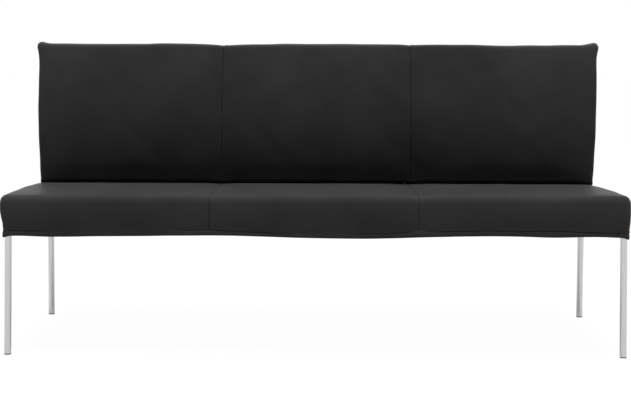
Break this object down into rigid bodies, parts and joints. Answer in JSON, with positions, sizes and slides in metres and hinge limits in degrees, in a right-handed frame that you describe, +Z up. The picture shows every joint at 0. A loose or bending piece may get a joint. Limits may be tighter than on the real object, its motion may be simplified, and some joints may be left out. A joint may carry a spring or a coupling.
{
  "type": "dining sofa",
  "caption": "Long armless dining sofa: a padded leather seat with sewn panels and a folded hem, a leaning back pad, and thin round steel legs.",
  "frame": {"origin": "on the floor, midway along the length and the depth", "axes": "+X to the right along the length seen from the front, +Y from the front to the rear, +Z up"},
  "size_m": [1.8848, 0.6389, 0.9209],
  "materials": {
    "leather": "smooth black leather with a fine grain and a soft sheen",
    "leg_steel": "stainless tube, brushed along its length",
    "glide_plastic": "matt black polyethylene",
    "chassis": "black powder coat on welded steel",
    "zinc": "zinc-plated steel fasteners and strips",
    "webbing": "woven elastic webbing",
    "felt": "pressed felt",
    "foam": "cold-cure polyurethane foam",
    "black_cloth": "black non-woven dust cloth",
    "plywood": "birch plywood"
  },
  "bodies": {
    "root": {"front_rail": "chassis", "rear_rail": "chassis", "side_rail_left": "chassis", "side_rail_right": "chassis", "cross_rail_left": "chassis", "cross_rail_right": "chassis", "corner_gussets": "chassis", "back_upright_left": "chassis", "back_upright_centre": "chassis", "back_upright_right": "chassis", "back_top_rail": "chassis", "leg_front_left": "leg_steel", "leg_front_right": "leg_steel", "leg_rear_left": "leg_steel", "leg_rear_right": "leg_steel", "leg_plates": "leg_steel", "glide_front_left": "glide_plastic", "glide_front_right": "glide_plastic", "glide_rear_left": "glide_plastic", "glide_rear_right": "glide_plastic", "leg_bolts": "zinc", "leg_nuts": "zinc", "webbing_clamps": "zinc", "clamp_rivets": "zinc", "upright_bolts": "zinc", "rivet_nuts": "zinc", "panel_screws": "zinc", "webbing_cross": "webbing", "webbing_long": "webbing", "felt_sheet": "felt", "seat_foam": "foam", "padding_front": "foam", "padding_rear": "foam", "padding_left": "foam", "padding_right": "foam", "back_foam_front": "foam", "back_foam_rear": "foam", "seat_cover_left": "leather", "seat_cover_centre": "leather", "seat_cover_right": "leather", "hem_front": "leather", "hem_rear": "leather", "hem_left": "leather", "hem_right": "leather", "back_cover_left": "leather", "back_cover_centre": "leather", "back_cover_right": "leather", "dust_cloth": "black_cloth", "back_underside": "black_cloth", "back_panel": "plywood"}
  },
  "joints": []
}
